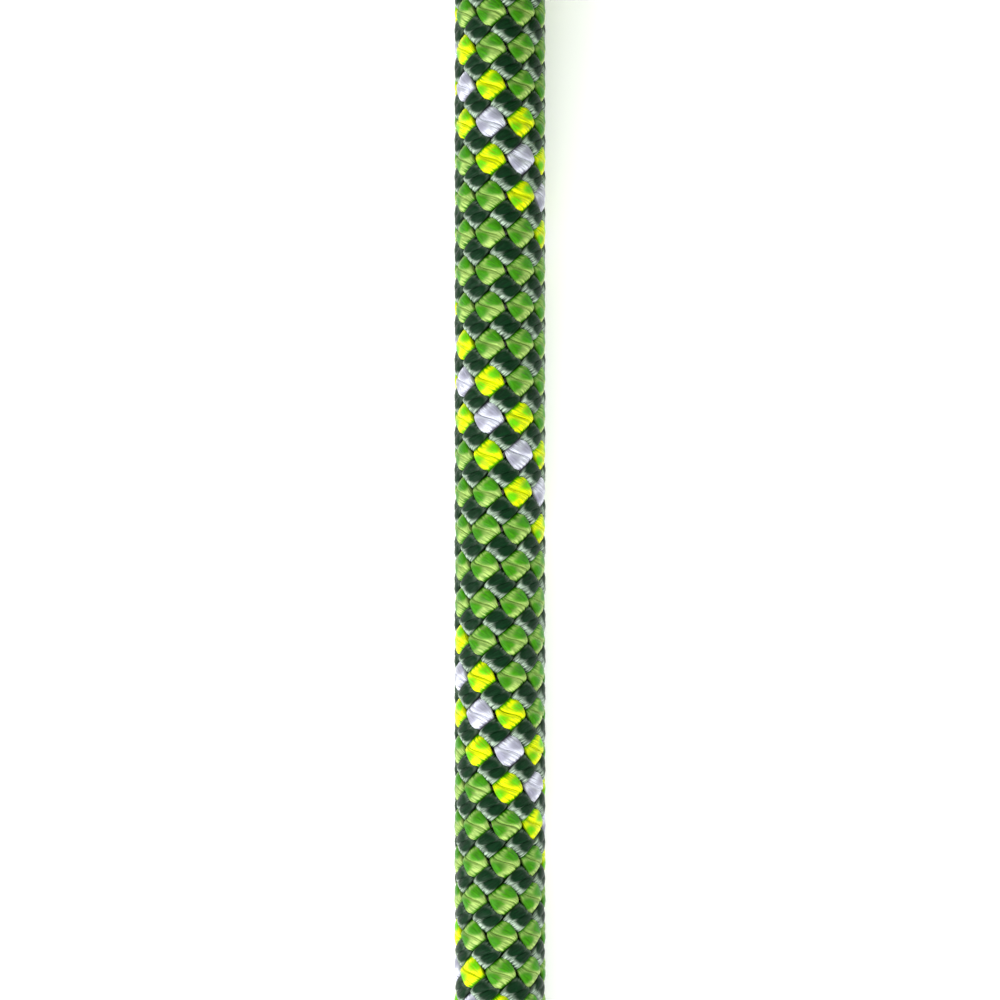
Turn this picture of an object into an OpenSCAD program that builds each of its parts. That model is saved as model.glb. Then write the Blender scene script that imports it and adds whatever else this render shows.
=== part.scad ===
// Dynamic climbing rope: a braided sheath over a core of parallel strands.
// A straight length of the rope lies along Y, with its free end towards -Y.
// The rest is folded into a tied hank in line with it.

/* [Rope] */
// Diameter of the rope over the crowns of its sheath
rope_d = 9.8; // [9.4:0.1:10.4]
// Length of rope in which a sheath strand goes once round
braid_turn = 31.6; // [30:0.2:34]
// Twist of the whole braid, in degrees per millimetre of rope
braid_twist = 0.3; // [0:0.05:0.4]
// Angle of the first strands from the top, in degrees, at the lengths' zero
braid_angle = 155; // [0:5:355]
// Thickness of a flattened sheath strand at its middle
strand_t = 0.66; // [0.5:0.02:0.66]
// Width of a flattened sheath strand
strand_w = 2.3; // [1.8:0.1:2.3]

/* [Core] */
// Diameter of the thread whose colour tells the year of making
thread_d = 0.5; // [0.3:0.05:0.5]
// Width of the folded marker tape
tape_w = 0.8; // [0.5:0.1:0.8]
// Thickness of the folded marker tape
tape_t = 0.15; // [0.1:0.01:0.15]

/* [Ends] */
// Length of the sleeve shrunk over each end
sleeve_l = 25; // [15:1:30]
// Wall of the shrunk sleeve
sleeve_wall = 0.4; // [0.3:0.05:0.6]
// Length of the melted tip
tip_l = 2; // [1.5:0.1:3]
// Rounding of the melted tip's edge
tip_round = 1.2; // [0.6:0.1:1.4]

/* [Straight length] */
// Crossings of a strand from the lengths' zero back to the rope's free end
crossings_back = 42; // [36:2:46]
// Crossings of a strand from the lengths' zero on to the rope's plain length
crossings_on = 30; // [28:2:34]

/* [Hank] */
// Folds that lie side by side in one layer
hank_columns = 9; // [7:1:10]
// Layers of folds, one outside the other
hank_layers = 5; // [4:1:5]
// Bend radius of the innermost fold, in rope diameters
fold_ratio = 3; // [3:0.1:3.4]
// Length of the straight legs
leg_l = 175; // [170:1:196]
// Slope of the upper legs as they come down to the tie, in degrees
dip_slope = 50; // [46:1:50]
// How far the hank's round end overhangs the braided length
overhang = 3; // [0:1:5]

/* [Tie] */
// Width of the strap
strap_w = 20; // [15:1:25]
// Thickness of the strap
strap_t = 1.2; // [0.8:0.1:1.6]
// Length of the strap's end that is folded back over itself
strap_tab_l = 36; // [25:1:42]
// Width of the ring along the strap
ring_l = 14; // [12:1:18]
// Thickness of the ring's bars
ring_bar = 2.4; // [2:0.1:3]

/* [Hidden] */
$fn = 48;
rope_r = rope_d / 2;
clearance = 0.02;
rope_axis_z = rope_r + sleeve_wall;

// Sheath: eight strands wind each way and cross sixteen times in a turn.
strands_each_way = 8;
crossings = 2 * strands_each_way;
crossing_gap = 0.14;
crossing_y = braid_turn / crossings;
tip_y = -crossings_back * crossing_y;
braid_end_y = crossings_on * crossing_y;
wave = (strand_t + crossing_gap) / 2;
sheath_r = rope_r - strand_t / 2 - wave;
lay_angle = atan(2 * PI * sheath_r / braid_turn);
end_margin = 0.6;

// Core: nine strands round three.
core_r = sheath_r - wave - strand_t / 2 - 0.06;
outer_strands = 9;
inner_strands = 3;
outer_half = 180 / outer_strands;
outer_strand_r = (core_r * sin(outer_half) - clearance) / (1 + sin(outer_half));
outer_ring_r = core_r - outer_strand_r;
inner_space_r = outer_ring_r - outer_strand_r - clearance;
inner_strand_r = (inner_space_r - clearance) / (1 + 1 / sin(60));
inner_ring_r = inner_space_r - inner_strand_r;
thread_ring_r = core_r - thread_d / 2;
tape_ring_r = core_r - tape_t;
tape_angle = outer_half + 3 * 360 / outer_strands;

// Hank: its folds turn round two hubs and its upper legs dip to the tie.
fold_r = fold_ratio * rope_d;
hank_reach = (hank_layers - 0.5) * rope_d;
hank_r = fold_r + hank_reach;
hub_z = hank_r;
near_y = braid_end_y - overhang + hank_r;
far_y = near_y + leg_l;
waist_y = (near_y + far_y) / 2;
dip_drop = 2 * fold_r - rope_d;
bends_sum = (leg_l / 2 * sin(dip_slope) - dip_drop * cos(dip_slope)) / (1 - cos(dip_slope));
dip_r = bends_sum - fold_r;
dip_z = hub_z - fold_r + rope_d + dip_r;
eye_r = fold_r - rope_r;
eye_stop = 20;
hank_w = (hank_columns + 1) * rope_d;
hank_x = -rope_r;
tail_x = hank_columns * rope_d;
notch_l = 40;
notch_gap = 0.3;

// Tail: the rope's other end comes out below the hank's far round end.
tail_l = 65;
tail_tip_y = far_y + tail_l;
tube_sides = 12;

// Tie: a strap round the hank's waist, let in so that its outside lies flush below.
waist_top_z = hub_z - fold_r + rope_d + hank_reach;
strap_top_z = waist_top_z + strap_t;
strap_corner = 6;
strap_in_corner = strap_corner - strap_t;
tab_x = hank_x + hank_w / 2;
ring_w = strap_w + 2 * ring_bar + 1;

// Middle of the whole outline, where the part's origin lies.
middle_x = tail_x / 2;
middle_y = (tip_y - tip_l + far_y + hank_r) / 2;

// Routes of the plain rope, as [across, along, up].
lead_route = [
    [0, braid_end_y, rope_axis_z],
    [0, 80, 5.2],
    [0, 100, 5.1],
    [0, 115, 5],
    [0, near_y, rope_r]
];
tail_route = [
    [tail_x, far_y, rope_r],
    [tail_x, far_y + 15, 5],
    [tail_x, far_y + 30, 5.2],
    [tail_x, tail_tip_y - sleeve_l, rope_axis_z],
    [tail_x, tail_tip_y, rope_axis_z]
];

// +1 at every even crossing and -1 at every odd one, straight in between.
function zigzag(n) = 1 - 2 * abs(n - 2 * round(n / 2));

// A point of a strand, n crossings along it, v across it and lift above its middle.
// Hand +1 winds towards +X over the top of the rope, and hand -1 the other way.
function strand_point(hand, start, n, v, lift) =
    let(
        y = n * crossing_y - v * sin(lay_angle),
        turn = n * 360 / crossings + v * cos(lay_angle) / sheath_r * 180 / PI,
        angle = braid_angle + start + hand * turn + braid_twist * y,
        r = sheath_r - hand * wave * zigzag(n) + lift
    )
    [r * sin(angle), y, rope_axis_z + r * cos(angle)];

// The four corners of a strand's section, as [across, above its middle].
strand_section = [
    [-strand_w / 2, 0], [0, strand_t / 2], [strand_w / 2, 0], [0, -strand_t / 2]
];

function strand_ring(hand, start, n) =
    [for (c = strand_section) strand_point(hand, start, n, c[0], c[1])];

// The section where a strand is cut square across the rope, at a height y.
function strand_cut(hand, start, y) =
    [for (c = strand_section)
        strand_point(hand, start, (y + c[0] * sin(lay_angle)) / crossing_y, c[0], c[1])];

function strand_rings(hand, start) =
    concat(
        [strand_cut(hand, start, tip_y)],
        [for (n = [ceil(tip_y / crossing_y + end_margin) :
                   floor(braid_end_y / crossing_y - end_margin)])
            strand_ring(hand, start, n)],
        [strand_cut(hand, start, braid_end_y)]
    );

function turned(face, flip) = flip ? [face[2], face[1], face[0]] : face;

// A closed skin over rings of points, with a flat cap at each end.
module skin(rings, flip) {
    count = len(rings[0]);
    last = len(rings) - 1;
    walls = [for (k = [0 : last - 1], j = [0 : count - 1], half = [0, 1])
        let(
            a = k * count + j,
            b = k * count + (j + 1) % count,
            c = b + count,
            d = a + count
        )
        turned(half == 0 ? [a, b, c] : [a, c, d], flip)];
    caps = [for (j = [1 : count - 2], cap = [0, 1])
        turned(cap == 0 ? [0, j + 1, j] : [0, j, j + 1] + last * count * [1, 1, 1], flip)];
    polyhedron(points = [for (ring = rings) each ring], faces = concat(walls, caps));
}

// A tube along a route, with rings square to Y so that its ends are square too.
function tube_rings(route, r) =
    [for (p = route) [for (j = [0 : tube_sides - 1])
        p + [r * sin(j * 360 / tube_sides), 0, r * cos(j * 360 / tube_sides)]]];

module placed() {
    translate([-middle_x, -middle_y, 0]) children();
}

// A bar with a round section that lies along Y.
module along_rope(from_y, to_y) {
    translate([0, to_y, 0]) rotate([90, 0, 0]) linear_extrude(to_y - from_y) children();
}

module light_strand(i, colour = "yellowgreen") {
    placed() color(colour) skin(strand_rings(-1, i * 360 / strands_each_way), true);
}

module dark_strand(i) {
    placed() color("darkgreen") skin(strand_rings(1, i * 360 / strands_each_way), false);
}

module core_strand(i) {
    outer = i < outer_strands;
    angle = outer ? i * 360 / outer_strands : (i - outer_strands) * 360 / inner_strands;
    ring_r = outer ? outer_ring_r : inner_ring_r;
    placed() color("ivory") translate([0, 0, rope_axis_z]) along_rope(tip_y, braid_end_y)
        rotate(angle) translate([ring_r, 0])
            circle(r = outer ? outer_strand_r : inner_strand_r);
}

module year_thread() {
    placed() color("red") translate([0, 0, rope_axis_z]) along_rope(tip_y, braid_end_y)
        rotate(outer_half) translate([thread_ring_r, 0]) circle(d = thread_d);
}

module marker_tape() {
    placed() color("white") translate([0, 0, rope_axis_z]) along_rope(tip_y, braid_end_y)
        rotate(tape_angle) translate([tape_ring_r, 0]) square([tape_t, tape_w], center = true);
}

module sleeve(x, from_y) {
    placed() color("black") translate([x, 0, rope_axis_z]) along_rope(from_y, from_y + sleeve_l)
        difference() {
            circle(r = rope_r + sleeve_wall);
            circle(r = rope_r + clearance);
        }
}

// The melted end: a disc with a rounded rim, facing +Y from the origin.
module melted_tip() {
    rotate([-90, 0, 0]) rotate_extrude() {
        square([rope_r - tip_round, tip_l]);
        square([rope_r, tip_l - tip_round]);
        intersection() {
            translate([rope_r - tip_round, tip_l - tip_round]) circle(r = tip_round);
            square([rope_r, tip_l]);
        }
    }
}

module end_tip() {
    placed() color("dimgray") translate([0, tip_y, rope_axis_z]) rotate([0, 0, 180]) melted_tip();
}

module tail_tip() {
    placed() color("dimgray") translate([tail_x, tail_tip_y, rope_axis_z]) melted_tip();
}

module lead_rope() {
    placed() color("yellowgreen") skin(tube_rings(lead_route, rope_r), false);
}

module tail_rope() {
    placed() color("yellowgreen") skin(tube_rings(tail_route, rope_r), false);
}

// Where a line that leaves a hub's circle at the dip's slope starts, for either hub.
function hub_point(side, r) =
    [waist_y + side * (leg_l / 2 - r * sin(dip_slope)), hub_z + r * cos(dip_slope)];

// Where that line meets the circle of the dip.
function dip_point(side, r) =
    [waist_y + side * r * sin(dip_slope), dip_z - r * cos(dip_slope)];

// The hank's outer outline, seen along X: two round ends and a dip between them.
module hank_outline() {
    dip_top_r = dip_r - hank_reach;
    difference() {
        union() {
            translate([near_y, hub_z]) circle(r = hank_r);
            translate([far_y, hub_z]) circle(r = hank_r);
            polygon([
                [near_y, 0], [far_y, 0],
                hub_point(1, hank_r), dip_point(1, dip_top_r),
                dip_point(-1, dip_top_r), hub_point(-1, hank_r)
            ]);
        }
        translate([waist_y, dip_z]) circle(r = dip_top_r);
    }
}

// The open eye inside one end of the hank.
module eye_outline(side) {
    dip_eye_r = dip_r + rope_r;
    hub_y = waist_y + side * leg_l / 2;
    stop_y = waist_y + side * eye_stop;
    difference() {
        union() {
            translate([hub_y, hub_z]) circle(r = eye_r);
            polygon([
                [hub_y, hub_z - eye_r], [stop_y, hub_z - eye_r],
                [stop_y, dip_point(side, dip_eye_r)[1]], dip_point(side, dip_eye_r),
                hub_point(side, eye_r), [hub_y, hub_z]
            ]);
        }
        translate([waist_y, dip_z]) circle(r = dip_eye_r);
    }
}

// A rectangle from a corner, with round corners made of true arcs.
module rounded(corner, size, r) {
    translate(corner) {
        translate([r, 0]) square([size[0] - 2 * r, size[1]]);
        translate([0, r]) square([size[0], size[1] - 2 * r]);
        for (x = [r, size[0] - r], y = [r, size[1] - r]) translate([x, y]) circle(r = r);
    }
}

module strap_inside() {
    rounded([hank_x + strap_t, strap_t],
        [hank_w - 2 * strap_t, waist_top_z - strap_t], strap_in_corner);
}

module strap_outside() {
    rounded([hank_x, 0], [hank_w, waist_top_z + strap_t], strap_corner);
}

module across_waist(width) {
    translate([0, waist_y + width / 2, 0]) rotate([90, 0, 0]) linear_extrude(width) children();
}

module rope_hank() {
    placed() color("olivedrab") difference() {
        translate([hank_x, 0, 0]) rotate([90, 0, 90]) linear_extrude(hank_w)
            difference() {
                hank_outline();
                eye_outline(-1);
                eye_outline(1);
            }
        across_waist(strap_w) difference() {
            translate([hank_x - 1, -1]) square([hank_w + 2, waist_top_z + rope_d]);
            strap_inside();
        }
        translate([-rope_r - 1, near_y - notch_l, -1])
            cube([rope_d + 1 + notch_gap, notch_l, rope_d + 1 + notch_gap]);
        translate([tail_x - rope_r - notch_gap, far_y, -1])
            cube([rope_d + 1 + notch_gap, notch_l, rope_d + 1 + notch_gap]);
        translate([tab_x - ring_l - 1, waist_y - ring_w / 2 - 1, strap_top_z])
            cube([ring_l + 2, ring_w + 2, rope_d]);
    }
}

module tie_strap() {
    placed() color("black") {
        across_waist(strap_w) difference() {
            strap_outside();
            strap_inside();
        }
        translate([tab_x, waist_y - strap_w / 2, strap_top_z])
            cube([strap_tab_l, strap_w, strap_t]);
    }
}

module tie_ring() {
    placed() color("dimgray") translate([tab_x - ring_l, waist_y, strap_top_z])
        linear_extrude(ring_bar) difference() {
            rounded([0, -ring_w / 2], [ring_l, ring_w], ring_bar);
            translate([ring_bar, ring_bar - ring_w / 2])
                square([ring_l - 2 * ring_bar, ring_w - 2 * ring_bar]);
        }
}

light_strand(0);  // light_strand_1
light_strand(1);  // light_strand_2
light_strand(2);  // light_strand_3
light_strand(3);  // light_strand_4
light_strand(4);  // light_strand_5
light_strand(5, "greenyellow");  // light_strand_6
light_strand(6, "white");  // light_strand_7
light_strand(7, "greenyellow");  // light_strand_8
dark_strand(0);  // dark_strand_1
dark_strand(1);  // dark_strand_2
dark_strand(2);  // dark_strand_3
dark_strand(3);  // dark_strand_4
dark_strand(4);  // dark_strand_5
dark_strand(5);  // dark_strand_6
dark_strand(6);  // dark_strand_7
dark_strand(7);  // dark_strand_8
core_strand(0);  // core_strand_1
core_strand(1);  // core_strand_2
core_strand(2);  // core_strand_3
core_strand(3);  // core_strand_4
core_strand(4);  // core_strand_5
core_strand(5);  // core_strand_6
core_strand(6);  // core_strand_7
core_strand(7);  // core_strand_8
core_strand(8);  // core_strand_9
core_strand(9);  // core_strand_10
core_strand(10);  // core_strand_11
core_strand(11);  // core_strand_12
year_thread();
marker_tape();
sleeve(0, tip_y);  // end_sleeve
end_tip();
lead_rope();
rope_hank();
tail_rope();
sleeve(tail_x, tail_tip_y - sleeve_l);  // tail_sleeve
tail_tip();
tie_strap();
tie_ring();
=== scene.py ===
"""Climbing rope: braided sheath, core, ends and a tied hank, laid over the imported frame.

Lengths are in metres. A straight length of rope lies along Y, and the rest is folded into a
hank behind it. Braid sums are in crossings: two strands cross once in every crossing, and
there are sixteen crossings in one turn of a strand round the rope.
"""
import math

import bpy
import numpy as np
from bpy.props import FloatProperty, FloatVectorProperty, IntProperty, PointerProperty
from bpy.types import Operator, Panel, PropertyGroup
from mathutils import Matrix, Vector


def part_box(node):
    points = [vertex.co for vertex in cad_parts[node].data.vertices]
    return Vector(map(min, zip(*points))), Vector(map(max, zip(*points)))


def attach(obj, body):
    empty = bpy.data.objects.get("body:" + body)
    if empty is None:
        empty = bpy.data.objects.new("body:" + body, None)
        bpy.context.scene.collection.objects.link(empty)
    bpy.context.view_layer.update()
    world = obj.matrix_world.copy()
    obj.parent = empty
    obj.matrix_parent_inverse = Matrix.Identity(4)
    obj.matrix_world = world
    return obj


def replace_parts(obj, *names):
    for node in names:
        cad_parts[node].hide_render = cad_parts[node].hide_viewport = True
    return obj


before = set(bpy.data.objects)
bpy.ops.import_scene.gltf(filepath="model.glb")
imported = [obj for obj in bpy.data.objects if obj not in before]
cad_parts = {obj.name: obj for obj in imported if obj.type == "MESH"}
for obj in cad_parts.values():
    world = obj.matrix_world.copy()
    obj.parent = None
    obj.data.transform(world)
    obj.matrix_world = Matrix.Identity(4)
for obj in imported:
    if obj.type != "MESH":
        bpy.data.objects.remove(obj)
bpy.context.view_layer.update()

bl_info = {
    "name": "Climbing Rope",
    "version": (1, 0, 0),
    "blender": (4, 5, 0),
    "location": "View3D > Sidebar > Rope",
    "description": "Braids a climbing rope's sheath and folds the rest of it into a tied hank",
    "category": "Add Mesh",
}

MM = 0.001
STRANDS_EACH_WAY = 8
CROSSINGS = 2 * STRANDS_EACH_WAY
CORE_STRANDS = 12
YARNS = ("green", "lime", "white", "dark")
# How a float of each yarn is coloured, with a painted sheen on its bends and painted shade where
# it dives. far_sheen: how pale the painted sheen at its farther end is beside that at its nearer
# one. patch: height on it, from 0 at its ends to 1, above which it shows its deep colour with no
# painted sheen. patch_side: where that patch lies, from 0 at the yarn's middle to 1 at its outer
# edge. fray: how much deep colour shows between the pale streaks of painted sheen. gap: painted
# shade where it dives: how bright it still is there, beside its deep colour.
FLOATS = {
    "green": {"far_sheen": 0.6, "patch": 0.68, "patch_side": 0.35, "fray": 0.35, "gap": 0.08},
    "lime": {"far_sheen": 0.95, "patch": 0.80, "patch_side": 0.4, "fray": 0.25, "gap": 0.45},
    "white": {"far_sheen": 0.85, "patch": 0.78, "patch_side": 0.3, "fray": 0.3, "gap": 0.12},
    "dark": {"far_sheen": 0.25, "patch": 0.54, "patch_side": 0.0, "fray": 0.6, "gap": 0.05},
}
# Specular level of each yarn.
GLOSS = {"green": 0.14, "lime": 0.12, "white": 0.3, "dark": 0.1}
# A float's deep patch, bare of painted sheen, lies this far towards its farther end, its corners
# are rounded by this much, its edge is blurred over this height, and streaks fray it by this much.
PATCH_AHEAD = 0.16
PATCH_ROUND = 0.45
PATCH_BLUR = 0.2
PATCH_FRAY = 0.9


def node_box(name):
    """Lowest and highest corner of a CAD node, as two arrays."""
    low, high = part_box(name)
    return np.array(low), np.array(high)


# Places taken from the frame.
SLEEVE_LOW, SLEEVE_HIGH = node_box("end_sleeve")
TIP_LOW, TIP_HIGH = node_box("end_tip")
LEAD_LOW, LEAD_HIGH = node_box("lead_rope")
HANK_LOW, HANK_HIGH = node_box("rope_hank")
TAIL_SLEEVE_LOW, TAIL_SLEEVE_HIGH = node_box("tail_sleeve")
TAIL_TIP_LOW, TAIL_TIP_HIGH = node_box("tail_tip")
STRAP_LOW, STRAP_HIGH = node_box("tie_strap")
RING_LOW, RING_HIGH = node_box("tie_ring")

ROPE_D = float(LEAD_HIGH[0] - LEAD_LOW[0])
ROPE_R = ROPE_D / 2
AXIS_X = float(SLEEVE_LOW[0] + SLEEVE_HIGH[0]) / 2
AXIS_Z = float(SLEEVE_LOW[2] + SLEEVE_HIGH[2]) / 2
TAIL_X = float(TAIL_SLEEVE_LOW[0] + TAIL_SLEEVE_HIGH[0]) / 2
BRAID_START = float(SLEEVE_LOW[1])
BRAID_END = float(LEAD_LOW[1])
HANK_R = float(HANK_HIGH[2] - HANK_LOW[2]) / 2
HUB_Z = float(HANK_HIGH[2] + HANK_LOW[2]) / 2
NEAR_Y = float(HANK_LOW[1]) + HANK_R
FAR_Y = float(HANK_HIGH[1]) - HANK_R
WAIST_Y = (NEAR_Y + FAR_Y) / 2
COLUMNS = round(float(HANK_HIGH[0] - HANK_LOW[0]) / ROPE_D) - 1
# The frame's zero crossing: a braid of whole crossings fits between its two ends.
CROSSINGS_BACK = 42
CROSSINGS_ON = 30


def length(name, description, metres):
    """A length that a user can change."""
    return FloatProperty(name=name, description=description, default=metres, unit="LENGTH")


def colour(name, description, *default):
    """A colour that a user can change, given as linear red, green and blue."""
    return FloatVectorProperty(
        name=name, description=description, default=default, subtype="COLOR", min=0.0, max=1.0
    )


class RopeSizes(PropertyGroup):
    turn: length(
        "Braid turn",
        "Length of rope in which a sheath strand goes once round",
        (BRAID_END - BRAID_START) / (CROSSINGS_BACK + CROSSINGS_ON) * CROSSINGS,
    )
    strand_middle: length(
        "Sheath radius", "Distance from the rope's axis to the middle of a strand", 4.15 * MM
    )
    weave: length("Weave", "How far a strand rises and sinks as it goes over and under", 0.33 * MM)
    light_half: length(
        "Light half width", "Half of a light strand's width between two crossings", 1.15 * MM
    )
    dark_half: length(
        "Dark half width", "Half of a dark strand's width between two crossings", 1.06 * MM
    )
    light_taper: length("Light taper", "How much wider half a light strand is on top", 0.24 * MM)
    dark_taper: length("Dark taper", "How much wider half a dark strand is on top", 0.1 * MM)
    light_stand: length("Light stand", "How far a light float strays to stand steeper", 0.15 * MM)
    dark_stand: length("Dark stand", "The same for a dark float, which lies flatter", -0.06 * MM)
    light_groove: length(
        "Light groove", "How far the groove between a light strand's yarns strays", 0.75 * MM
    )
    dark_groove: length(
        "Dark groove", "How far the groove between a dark strand's yarns strays", 0.42 * MM
    )
    plateau: FloatProperty(
        name="Plateau",
        description="How flat a float's top is: 0.1 is a plain wave, and 4 is nearly square",
        default=3.0,
        min=0.1,
        max=6.0,
    )
    yarn_height: length("Yarn height", "Mean thickness of a yarn, outwards", 0.78 * MM)
    yarn_swell: length("Yarn swell", "How much thicker half a yarn is on top", 0.07 * MM)
    sway: length("Sway", "How far a yarn strays at random from its place", 0.02 * MM)
    detailed_end: length(
        "End of separate strands",
        "Distance past the frame's braid at which the plain rope takes over",
        40 * MM,
    )
    valley: length("Valley", "Depth of the hollows between the hank's crowns", 0.5 * MM)


class HankSizes(PropertyGroup):
    fold_ratio: FloatProperty(
        name="Fold ratio",
        description="Bend radius of the innermost fold, in rope diameters",
        default=3.0,
        min=2.0,
    )
    layers: IntProperty(
        name="Layers",
        description="Layers of folds, one outside the other",
        default=round(HANK_R / ROPE_D - 3.0 + 0.5),
        min=1,
    )
    dip_slope: FloatProperty(
        name="Dip slope",
        description="Slope of the upper legs as they come down to the tie",
        default=math.radians(50),
        subtype="ANGLE",
    )
    wander: length("Wander", "How far a leg strays sideways from its neighbour", 0.45 * MM)
    rope_pieces: IntProperty(
        name="Pieces", description="Lengths that the hank's rope is made in", default=3, min=3
    )
    strap_corner: length("Strap corner", "Outer radius of the strap at the hank's edges", 6 * MM)
    strap_thickness: length("Strap thickness", "Thickness of the webbing", 1.2 * MM)
    saddle: length("Saddle", "Radius that the strap's top bends to across its width", 26 * MM)
    tab: length("Tab", "Length of the strap's end that lies back over its loop", 36 * MM)


class RopeColours(PropertyGroup):
    # Each yarn has its own deep colour, and a pale colour that is a painted sheen: a painted
    # highlight on the bends of its floats.
    white_core: colour("White", "Deep colour of a white yarn", 0.34, 0.34, 0.44)
    white_painted_sheen: colour("White, pale", "Bends of a white yarn", 0.80, 0.82, 0.94)
    lime_core: colour("Lime", "Deep colour of a lime yarn", 0.13, 0.58, 0.0)
    lime_painted_sheen: colour("Lime, pale", "Bends of a lime yarn", 0.86, 0.93, 0.0)
    green_core: colour("Green", "Deep colour of a green yarn", 0.045, 0.26, 0.0)
    green_painted_sheen: colour("Green, pale", "Bends of a green yarn", 0.42, 0.60, 0.15)
    dark_core: colour("Dark", "Deep colour of a dark yarn", 0.002, 0.028, 0.007)
    dark_painted_sheen: colour("Dark, pale", "Bends of a dark yarn", 0.43, 0.55, 0.43)
    core_yarn: colour("Core", "Raw core strands", 0.86, 0.84, 0.76)
    thread: colour("Thread", "Thread that tells the year of making", 0.6, 0.02, 0.02)
    tape: colour("Tape", "Folded marker film", 0.88, 0.88, 0.84)
    sleeve: colour("Sleeve", "Tube shrunk over each end", 0.012, 0.012, 0.013)
    melted: colour("Melted end", "Fused yarn at each end", 0.025, 0.05, 0.012)
    webbing: colour("Webbing", "The tie's woven strap", 0.02, 0.021, 0.023)
    ring: colour("Ring", "The tie's moulded ring", 0.03, 0.03, 0.032)
    floor: colour("Floor", "The pale floor", 0.9, 0.9, 0.9)


# ---- Meshes


def tube_faces(rows, sides, start=0):
    """Quads of a tube whose rings have the given sides, and the triangles that close both
    ends to two extra points, which follow the rings: first the start's, then the end's."""
    r, k = np.meshgrid(np.arange(rows - 1), np.arange(sides), indexing="ij")
    a, b = start + r * sides + k, start + r * sides + (k + 1) % sides
    quads = np.stack([a, b, b + sides, a + sides], axis=-1).reshape(-1, 4)
    tip = np.full(sides, start + rows * sides)
    near = np.stack([b[0], a[0], tip], axis=-1)
    far = np.stack([a[-1] + sides, b[-1] + sides, tip + 1], axis=-1)
    return quads, np.concatenate([near, far])


def loop_faces(rows, sides):
    """Quads of a tube whose last ring joins its first."""
    quads, _ = tube_faces(rows + 1, sides)
    return quads % (rows * sides)


def corner_counts(rows, sides):
    """Ring and side counts of every face corner of a tube with closed ends, its quads' and
    then its end triangles', whose tips lie half a side on and a tenth of a ring in."""
    r, k = np.meshgrid(np.arange(rows - 1), np.arange(sides), indexing="ij")
    ring = np.stack([r, r, r + 1, r + 1], axis=-1)
    side = np.stack([k, k + 1, k + 1, k], axis=-1)
    k = np.arange(sides)
    inward = np.tile([0.0, 0.0, 0.1], (sides, 1))
    near = np.stack([inward, np.stack([k + 1, k, k + 0.5], axis=-1)], axis=-1)
    far = np.stack([rows - 1 - inward, np.stack([k, k + 1, k + 0.5], axis=-1)], axis=-1)
    wall = np.stack([ring, side], axis=-1)
    return wall.reshape(-1, 2), np.concatenate([near, far]).reshape(-1, 2)


def face_lowest(values, corners_each):
    """The lowest of each face's values, given back for every corner."""
    return np.repeat(values.reshape(-1, corners_each).min(axis=1), corners_each)


def strip_map(counts, corners_each, rows, sides, strips, first, total):
    """Map of a tube's skin for baking: its length is cut into strips that lie side by side,
    with a gap round each. A face belongs to the strip that its lowest ring is in."""
    gap = 0.08
    per_strip = math.ceil((rows - 1) / strips)
    lowest = face_lowest(counts[:, 0], corners_each)
    strip = np.clip(np.floor(lowest / per_strip), 0, strips - 1)
    along = counts[:, 0] / per_strip - strip
    across = gap + (1 - 2 * gap) * counts[:, 1] / sides
    return np.stack([along, (first + strip + across) / total], axis=-1)


def volume_sign(points, quads):
    """Sign of the volume inside the quads: six times a tetrahedron's volume is the triple
    product of its corners, and each quad is two triangles."""
    a, b, c, d = (points[quads[:, k]] - points.mean(axis=0) for k in range(4))
    return np.sign(np.einsum("ij,ij->", a, np.cross(b, c) + np.cross(c, d)))


def add_piece(name, material, slot, points, quads, triangles=(), uv=None, lie=None, baked=None):
    """A mesh piece from arrays, turned outwards, with its finish, on the root body.

    uv is one pair per point, or one per face corner, and baked is one per face corner. lie
    is a vector per point that the yarn material reads."""
    triangles = np.asarray(triangles, dtype=np.int64).reshape(-1, 3)
    maps = {"run": uv, "OFBake": baked}
    if volume_sign(points, quads) < 0:
        for key, pairs in maps.items():
            if pairs is not None and len(pairs) != len(points):
                wall, caps = np.split(pairs, [quads.size])
                turned = [wall.reshape(-1, 4, 2)[:, ::-1], caps.reshape(-1, 3, 2)[:, ::-1]]
                maps[key] = np.concatenate([part.reshape(-1, 2) for part in turned])
        quads, triangles = quads[:, ::-1], triangles[:, ::-1]
    corners = np.concatenate([quads.ravel(), triangles.ravel()])
    starts = np.concatenate(
        [np.arange(len(quads)) * 4, len(quads) * 4 + np.arange(len(triangles)) * 3]
    )
    mesh = bpy.data.meshes.new(name)
    mesh.vertices.add(len(points))
    mesh.vertices.foreach_set("co", points.astype(np.float32).ravel())
    mesh.loops.add(len(corners))
    mesh.loops.foreach_set("vertex_index", corners.astype(np.int32))
    mesh.polygons.add(len(starts))
    mesh.polygons.foreach_set("loop_start", starts.astype(np.int32))
    mesh.update(calc_edges=True)
    mesh.polygons.foreach_set("use_smooth", np.ones(len(starts), dtype=bool))
    for key, pairs in maps.items():
        if pairs is not None:
            per_corner = pairs if len(pairs) == len(corners) else pairs[corners]
            layer = mesh.uv_layers.new(name=key)
            layer.data.foreach_set("uv", per_corner.astype(np.float32).ravel())
    if lie is not None:
        attribute = mesh.attributes.new("lie", "FLOAT_VECTOR", "POINT")
        attribute.data.foreach_set("vector", lie.astype(np.float32).ravel())
    if mesh.validate():
        raise ValueError(f"{name}: the mesh had faces that don't hold")
    mesh.materials.append(material)
    piece = bpy.data.objects.new(name, mesh)
    bpy.context.scene.collection.objects.link(piece)
    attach(piece, "root")
    return piece


# ---- Materials


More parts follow.
